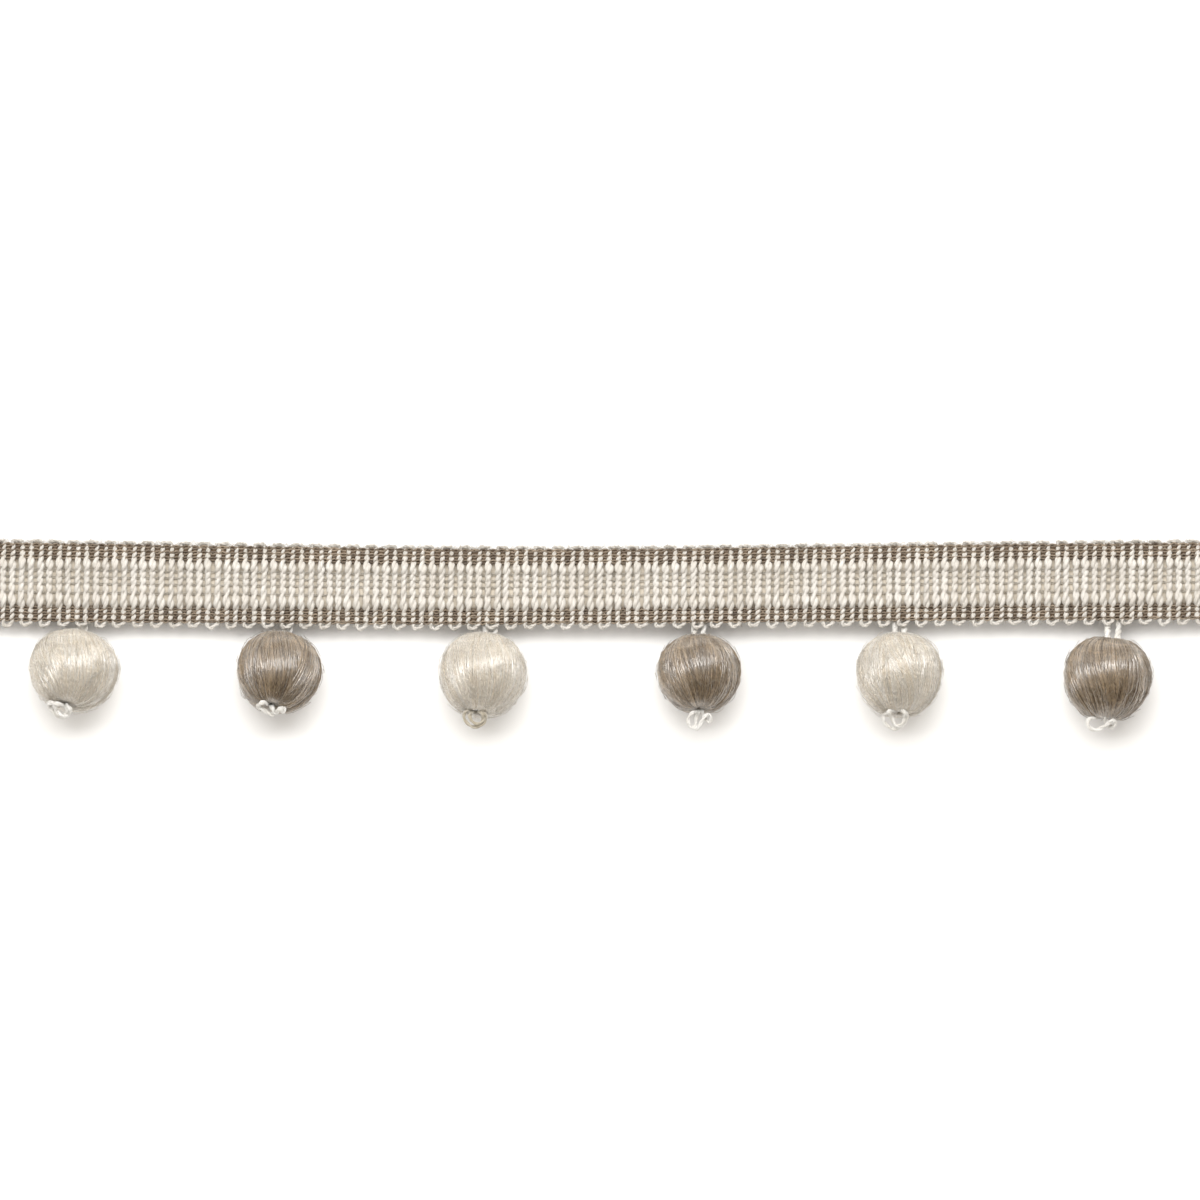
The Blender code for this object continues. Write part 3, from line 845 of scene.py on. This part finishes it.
def wound_core(name, ball, centre, finish):
    """What shows between the strands: a grooved ball with a hole sunk at each pole, darkened by painted shade
    a little all over and fully down in the holes.
    """
    top = ball_axes(ball)[1]
    bm = bmesh.new()
    bmesh.ops.create_uvsphere(
        bm, u_segments=2 * CORE_RIBS, v_segments=CORE_RINGS, radius=1.0, calc_uvs=True
    )
    painted_shade = bm.verts.layers.float.new("painted_shade")
    tone = bm.verts.layers.float.new("tone")
    unit = np.array([vert.co for vert in bm.verts])
    latitude = np.arcsin(np.clip(unit[:, 2], -1.0, 1.0))
    longitude = np.arctan2(unit[:, 1], unit[:, 0])
    groove = CORE_RIB_RISE * np.cos(CORE_RIBS * longitude) * np.cos(latitude)
    swirled = longitude + math.radians(BUNDLE_SWIRL) * np.sin(latitude)
    points = on_ball(ball, centre, swirled, latitude, groove - CORE_SINK)
    from_pole = 90.0 - np.abs(np.degrees(latitude))
    into = np.clip(1.0 - from_pole / HOLE_REACH, 0.0, 1.0)
    points -= (np.sign(latitude) * np.sqrt(into) * HOLE_DEPTH)[:, None] * top
    points[:, 2] = np.maximum(points[:, 2], 0.0)
    for vert, point, depth in zip(bm.verts, points, into):
        vert.co = point
        # painted shade: a little all over, and more the further into a hole
        vert[painted_shade] = min(1.0, CORE_PAINTED_SHADE + depth * HOLE_PAINTED_SHADE)
        vert[tone] = CORE_TONE
    return bmesh_piece(name, bm, finish)


def wave(winding, times, latitude):
    """A wave along a strand, from a random phase."""
    return np.sin(times * latitude + winding.uniform(*WAVE_PHASES))


def winding_strands(ball, centre):
    """Every strand of the winding: bundles side by side, each crossing its neighbours a little."""
    winding = np.random.default_rng(ball.seed)
    top = ball_axes(ball)[1]
    latitude = np.radians(np.array(STRAND_LATITUDES, float))
    near_pole = np.sin(np.abs(latitude)) ** POLE_SHARPNESS
    # painted shade where a strand runs down into a hole: full at both ends, rising near the poles
    painted_shade = np.concatenate(((1.0,), np.interp(near_pole, PAINTED_SHADE_NEAR_POLE, (0.0, 1.0)), (1.0,)))
    half_bundle = STRAND_SPACING * BUNDLE_STRANDS / 2
    strands = []
    for bundle in range(BUNDLES):
        middle = 360.0 * bundle / BUNDLES + winding.uniform(-BUNDLE_STRAY, BUNDLE_STRAY)
        swirl = BUNDLE_SWIRL + winding.normal(0.0, BUNDLE_CROSSING)
        layer = winding.uniform(-BUNDLE_LAYERS, BUNDLE_LAYERS)
        bundle_tone = winding.uniform(*BUNDLE_TONES)
        width = winding.uniform(*BUNDLE_WIDTHS)
        for strand in range(BUNDLE_STRANDS):
            place = (strand + 0.5) / BUNDLE_STRANDS * 2.0 - 1.0
            start = middle + place * half_bundle * width + winding.uniform(-STRAND_STRAY, STRAND_STRAY)
            own_swirl = swirl + winding.normal(0.0, STRAND_CROSSING)
            wobble = winding.uniform(-STRAND_WOBBLE, STRAND_WOBBLE) * wave(winding, 2, latitude)
            longitude = np.radians(start + own_swirl * np.sin(latitude) + wobble)
            above = layer + BUNDLE_CROWN * (1.0 - place * place) + winding.normal(0.0, STRAND_HEIGHTS)
            for times, rise in STRAND_WAVES:
                above = above + rise * wave(winding, times, latitude)
            points = on_ball(ball, centre, longitude, latitude, above * np.cos(latitude) ** 0.5 - BUNDLE_SINK)
            radii = STRAND_RADIUS * winding.uniform(*STRAND_RADII) * (1.0 - STRAND_THINNING * near_pole)
            inside = top * STRAND_END_DEPTH * winding.uniform(*STRAND_END_UNEVEN)
            points = np.vstack((points[0] - inside, points, points[-1] + inside))
            radii = np.concatenate((radii[:1], radii, radii[-1:]))
            points[:, 2] = np.maximum(points[:, 2], radii)
            tone = np.clip(bundle_tone + winding.normal(0.0, STRAND_TONES), 0.0, 1.0)
            strands.append((points, radii, tone, painted_shade))
    return strands


def loose_fibres(ball, centre):
    """Fine hairs that have come away from the winding."""
    loose = np.random.default_rng(ball.seed + LOOSE_FIBRE_SEED)
    t = np.linspace(0.0, 1.0, 6)
    strands = []
    for _ in range(LOOSE_FIBRES):
        length = loose.uniform(*LOOSE_FIBRE_LENGTH)
        start = loose.uniform(-LOOSE_FIBRE_LATITUDE, LOOSE_FIBRE_LATITUDE)
        latitude = np.radians(start + length * (t - 0.5))
        slant = loose.uniform(0, 360), loose.uniform(-LOOSE_FIBRE_SLANT, LOOSE_FIBRE_SLANT)
        longitude = np.radians(slant[0] + slant[1] * t)
        lift = loose.uniform(*LOOSE_FIBRE_LIFT)
        rise = np.sin(math.pi * t) if loose.random() < LOOSE_FIBRE_BOWED else t**2
        points = on_ball(ball, centre, longitude, latitude, LOOSE_FIBRE_ABOVE + lift * rise)
        points[:, 2] = np.maximum(points[:, 2], 2 * FIBRE_RADIUS)
        strands.append((points, LOOSE_FIBRE_RADIUS, loose.random(), 0.0))
    return strands


# ---------------------------------------------------------------- doubled cords

def legs_route(ball, centre, apart):
    """From under the braid down one leg, round in the ball's top hole and up the other leg."""
    right, top, _ = ball_axes(ball)
    pole_reach = ball.length / 2 * (1.0 - HOLLOW_DEPTH / BALL_RADIUS)
    bend = centre + top * (pole_reach + LEG_GAP + LEG_DIAMETER / 2)
    start_y = float(edge_lower(bend[0])) - EDGE_LOOP_LOWER - LEG_GAP
    start = np.array((bend[0] + (start_y - bend[1]) * top[0], start_y, lifted(bend[0], 1.0) - LEG_UNDER))
    angle = np.linspace(0.0, math.pi, CORD_STEPS)
    along = np.maximum(0.0, np.sin(angle)) ** LEG_RUN
    side = np.sign(-np.cos(angle)) * np.abs(np.cos(angle)) ** LEG_SPREAD
    sunk = LEG_INTO_HOLE * along**LEG_BEND
    legs = (
        start + (bend - start) * along[:, None] + right * (side * apart / 2)[:, None]
        - top * sunk[:, None]
    )
    tucked = np.zeros((LEG_TUCK_STEPS, 3))
    tucked[:, 1] = LEG_TUCK * np.linspace(*LEG_TUCK_SHARES, LEG_TUCK_STEPS)
    tucked[:, 2] = -np.linspace(LEG_TUCK_DROP, 0.0, LEG_TUCK_STEPS)
    return np.vstack((legs[0] + tucked, legs, (legs[-1] + tucked)[::-1]))


def tail_route(ball, places, centre):
    """One strand out of the ball's bottom hole, close over the ball, and in again."""
    places = np.array(places)
    knots = np.concatenate(((0.0,), np.cumsum(np.linalg.norm(np.diff(places, axis=0), axis=1))))
    along = np.linspace(0.0, knots[-1], CORD_STEPS)
    x, y, rise = (through(knots, places[:, column], along) for column in range(3))
    radius = (ball.width + ball.length) / 4 + TAIL_OFF_BALL
    height = np.sqrt(np.maximum(radius**2 - x**2 - y**2, TAIL_HANG**2))
    return np.column_stack((centre[0] + x, centre[1] + y, centre[2] + height + rise))


def smoothed(route, rounds=2):
    """The route with its bends eased, its two ends kept."""
    for _ in range(rounds):
        eased = route.copy()
        eased[1:-1] = route[:-2] * 0.25 + route[1:-1] * 0.5 + route[2:] * 0.25
        route = eased
    return route


def two_ply_cords(name, routes, radius, lay, tone, finish):
    """One piece of one or more cords, each of two plies that turn about its route."""
    strands = []
    for route in routes:
        route = smoothed(route)
        steps = np.linalg.norm(np.diff(route, axis=0), axis=1)
        along = np.concatenate(((0.0,), np.cumsum(steps)))
        tones = tone - PLY_TONES_APART, tone + PLY_TONES_APART
        strands += plies(route, along / lay, PLY_APART * radius, radius, tones)
    return strand_piece(name, strands, finish, EIGHT_SIDED)


# ---------------------------------------------------------------- the set

def set_camera():
    """A camera high above the trim, looking straight down."""
    data = bpy.data.cameras.new("camera")
    data.sensor_width = CAMERA_SENSOR
    data.lens = CAMERA_LENS
    data.clip_start, data.clip_end = CAMERA_CLIP
    camera = bpy.data.objects.new("camera", data)
    camera.location = [value * MM for value in (*VIEW_MIDDLE, CAMERA_HEIGHT)]
    bpy.context.scene.collection.objects.link(camera)
    bpy.context.scene.camera = camera


def set_lights():
    """Softboxes over the trim, and the even light of a pale room."""
    for softbox in SOFTBOXES:
        light = bpy.data.lights.new(softbox.name, "AREA")
        light.shape = "RECTANGLE"
        light.size, light.size_y = softbox.width, softbox.depth
        light.energy = softbox.power
        light.color = SOFTBOX_COLOUR
        lamp = bpy.data.objects.new(softbox.name, light)
        lamp.location = Vector(softbox.towards).normalized()
        lamp.rotation_euler = lamp.location.to_track_quat("Z", "Y").to_euler()
        lamp.visible_camera = False
        bpy.context.scene.collection.objects.link(lamp)

    world = bpy.data.worlds.new("room")
    world.use_nodes = True
    background = world.node_tree.nodes["Background"]
    background.inputs["Color"].default_value = rgba(ROOM_COLOUR)
    background.inputs["Strength"].default_value = ROOM_LIGHT
    bpy.context.scene.world = world
    world.cycles_visibility.glossy = False  # the softboxes alone make the sheen
    bpy.context.scene.view_settings.view_transform = "Standard"


def set_floor(finish):
    """The surface on which the trim lies."""
    bm = bmesh.new()
    bmesh.ops.create_grid(bm, x_segments=1, y_segments=1, size=FLOOR_SIDE / 2)
    mesh = bpy.data.meshes.new("floor")
    bm.to_mesh(mesh)
    bm.free()
    mesh.materials.append(finish)
    floor = bpy.data.objects.new("floor", mesh)
    bpy.context.scene.collection.objects.link(floor)


def dress_braid():
    """The cords, chains and fibres of the braid, in the place of its plain solid."""
    cream_yarn = spun_yarn(CREAM_YARN)
    ground = braid_ground(ground_and_gap_shade())
    weft = weft_plies(spun_yarn(WEFT_YARN))
    taupe = chains(TAUPE_CHAINS, spun_yarn(TAUPE_YARN))
    cream = chains(CREAM_CHAINS, cream_yarn)
    fibres = edge_fibres(cream_yarn)
    for piece in (ground, *weft, taupe, cream, fibres):
        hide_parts("braid")


def dress_ball(node, ball, centre, silk):
    """A ball's core, its winding and its loose fibres, in the place of its plain solid."""
    core = wound_core(f"{node}_core", ball, centre, silk)
    strands = strand_piece(f"{node}_winding", winding_strands(ball, centre), silk)
    hairs = strand_piece(f"{node}_fibres", loose_fibres(ball, centre), silk)
    for piece in (core, strands, hairs):
        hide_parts(node)


def dress_cord(node, routes, radius, lay, tone, finish):
    """A two-ply cord, in the place of a hanger's or a tail's plain solid."""
    cord = two_ply_cords(f"{node}_cord", routes, radius, lay, tone, finish)
    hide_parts(node)


def main():
    set_camera()
    set_lights()
    set_floor(floor_finish())
    dress_braid()
    silks = {thread: silk_thread(silk) for thread, silk in SILKS.items()}
    cord = spun_yarn(CORD_SILK)
    for i, ball in enumerate(BALLS):
        number = i + 1
        centre = ball_centre(ball, f"ball_{number}")
        dress_ball(f"ball_{number}", ball, centre, silks[ball.thread])
        legs = [legs_route(ball, centre, LEGS_APART[i])]
        dress_cord(f"hanger_{number}", legs, LEG_RADII[i], LEG_LAY, LEG_TONE, cord)
        tail = [tail_route(ball, strand, centre) for strand in TAILS[i]]
        dress_cord(f"tail_{number}", tail, TAIL_RADII[i], TAIL_LAY, TAIL_TONES[i], cord)

    bpy.context.view_layer.update()


main()
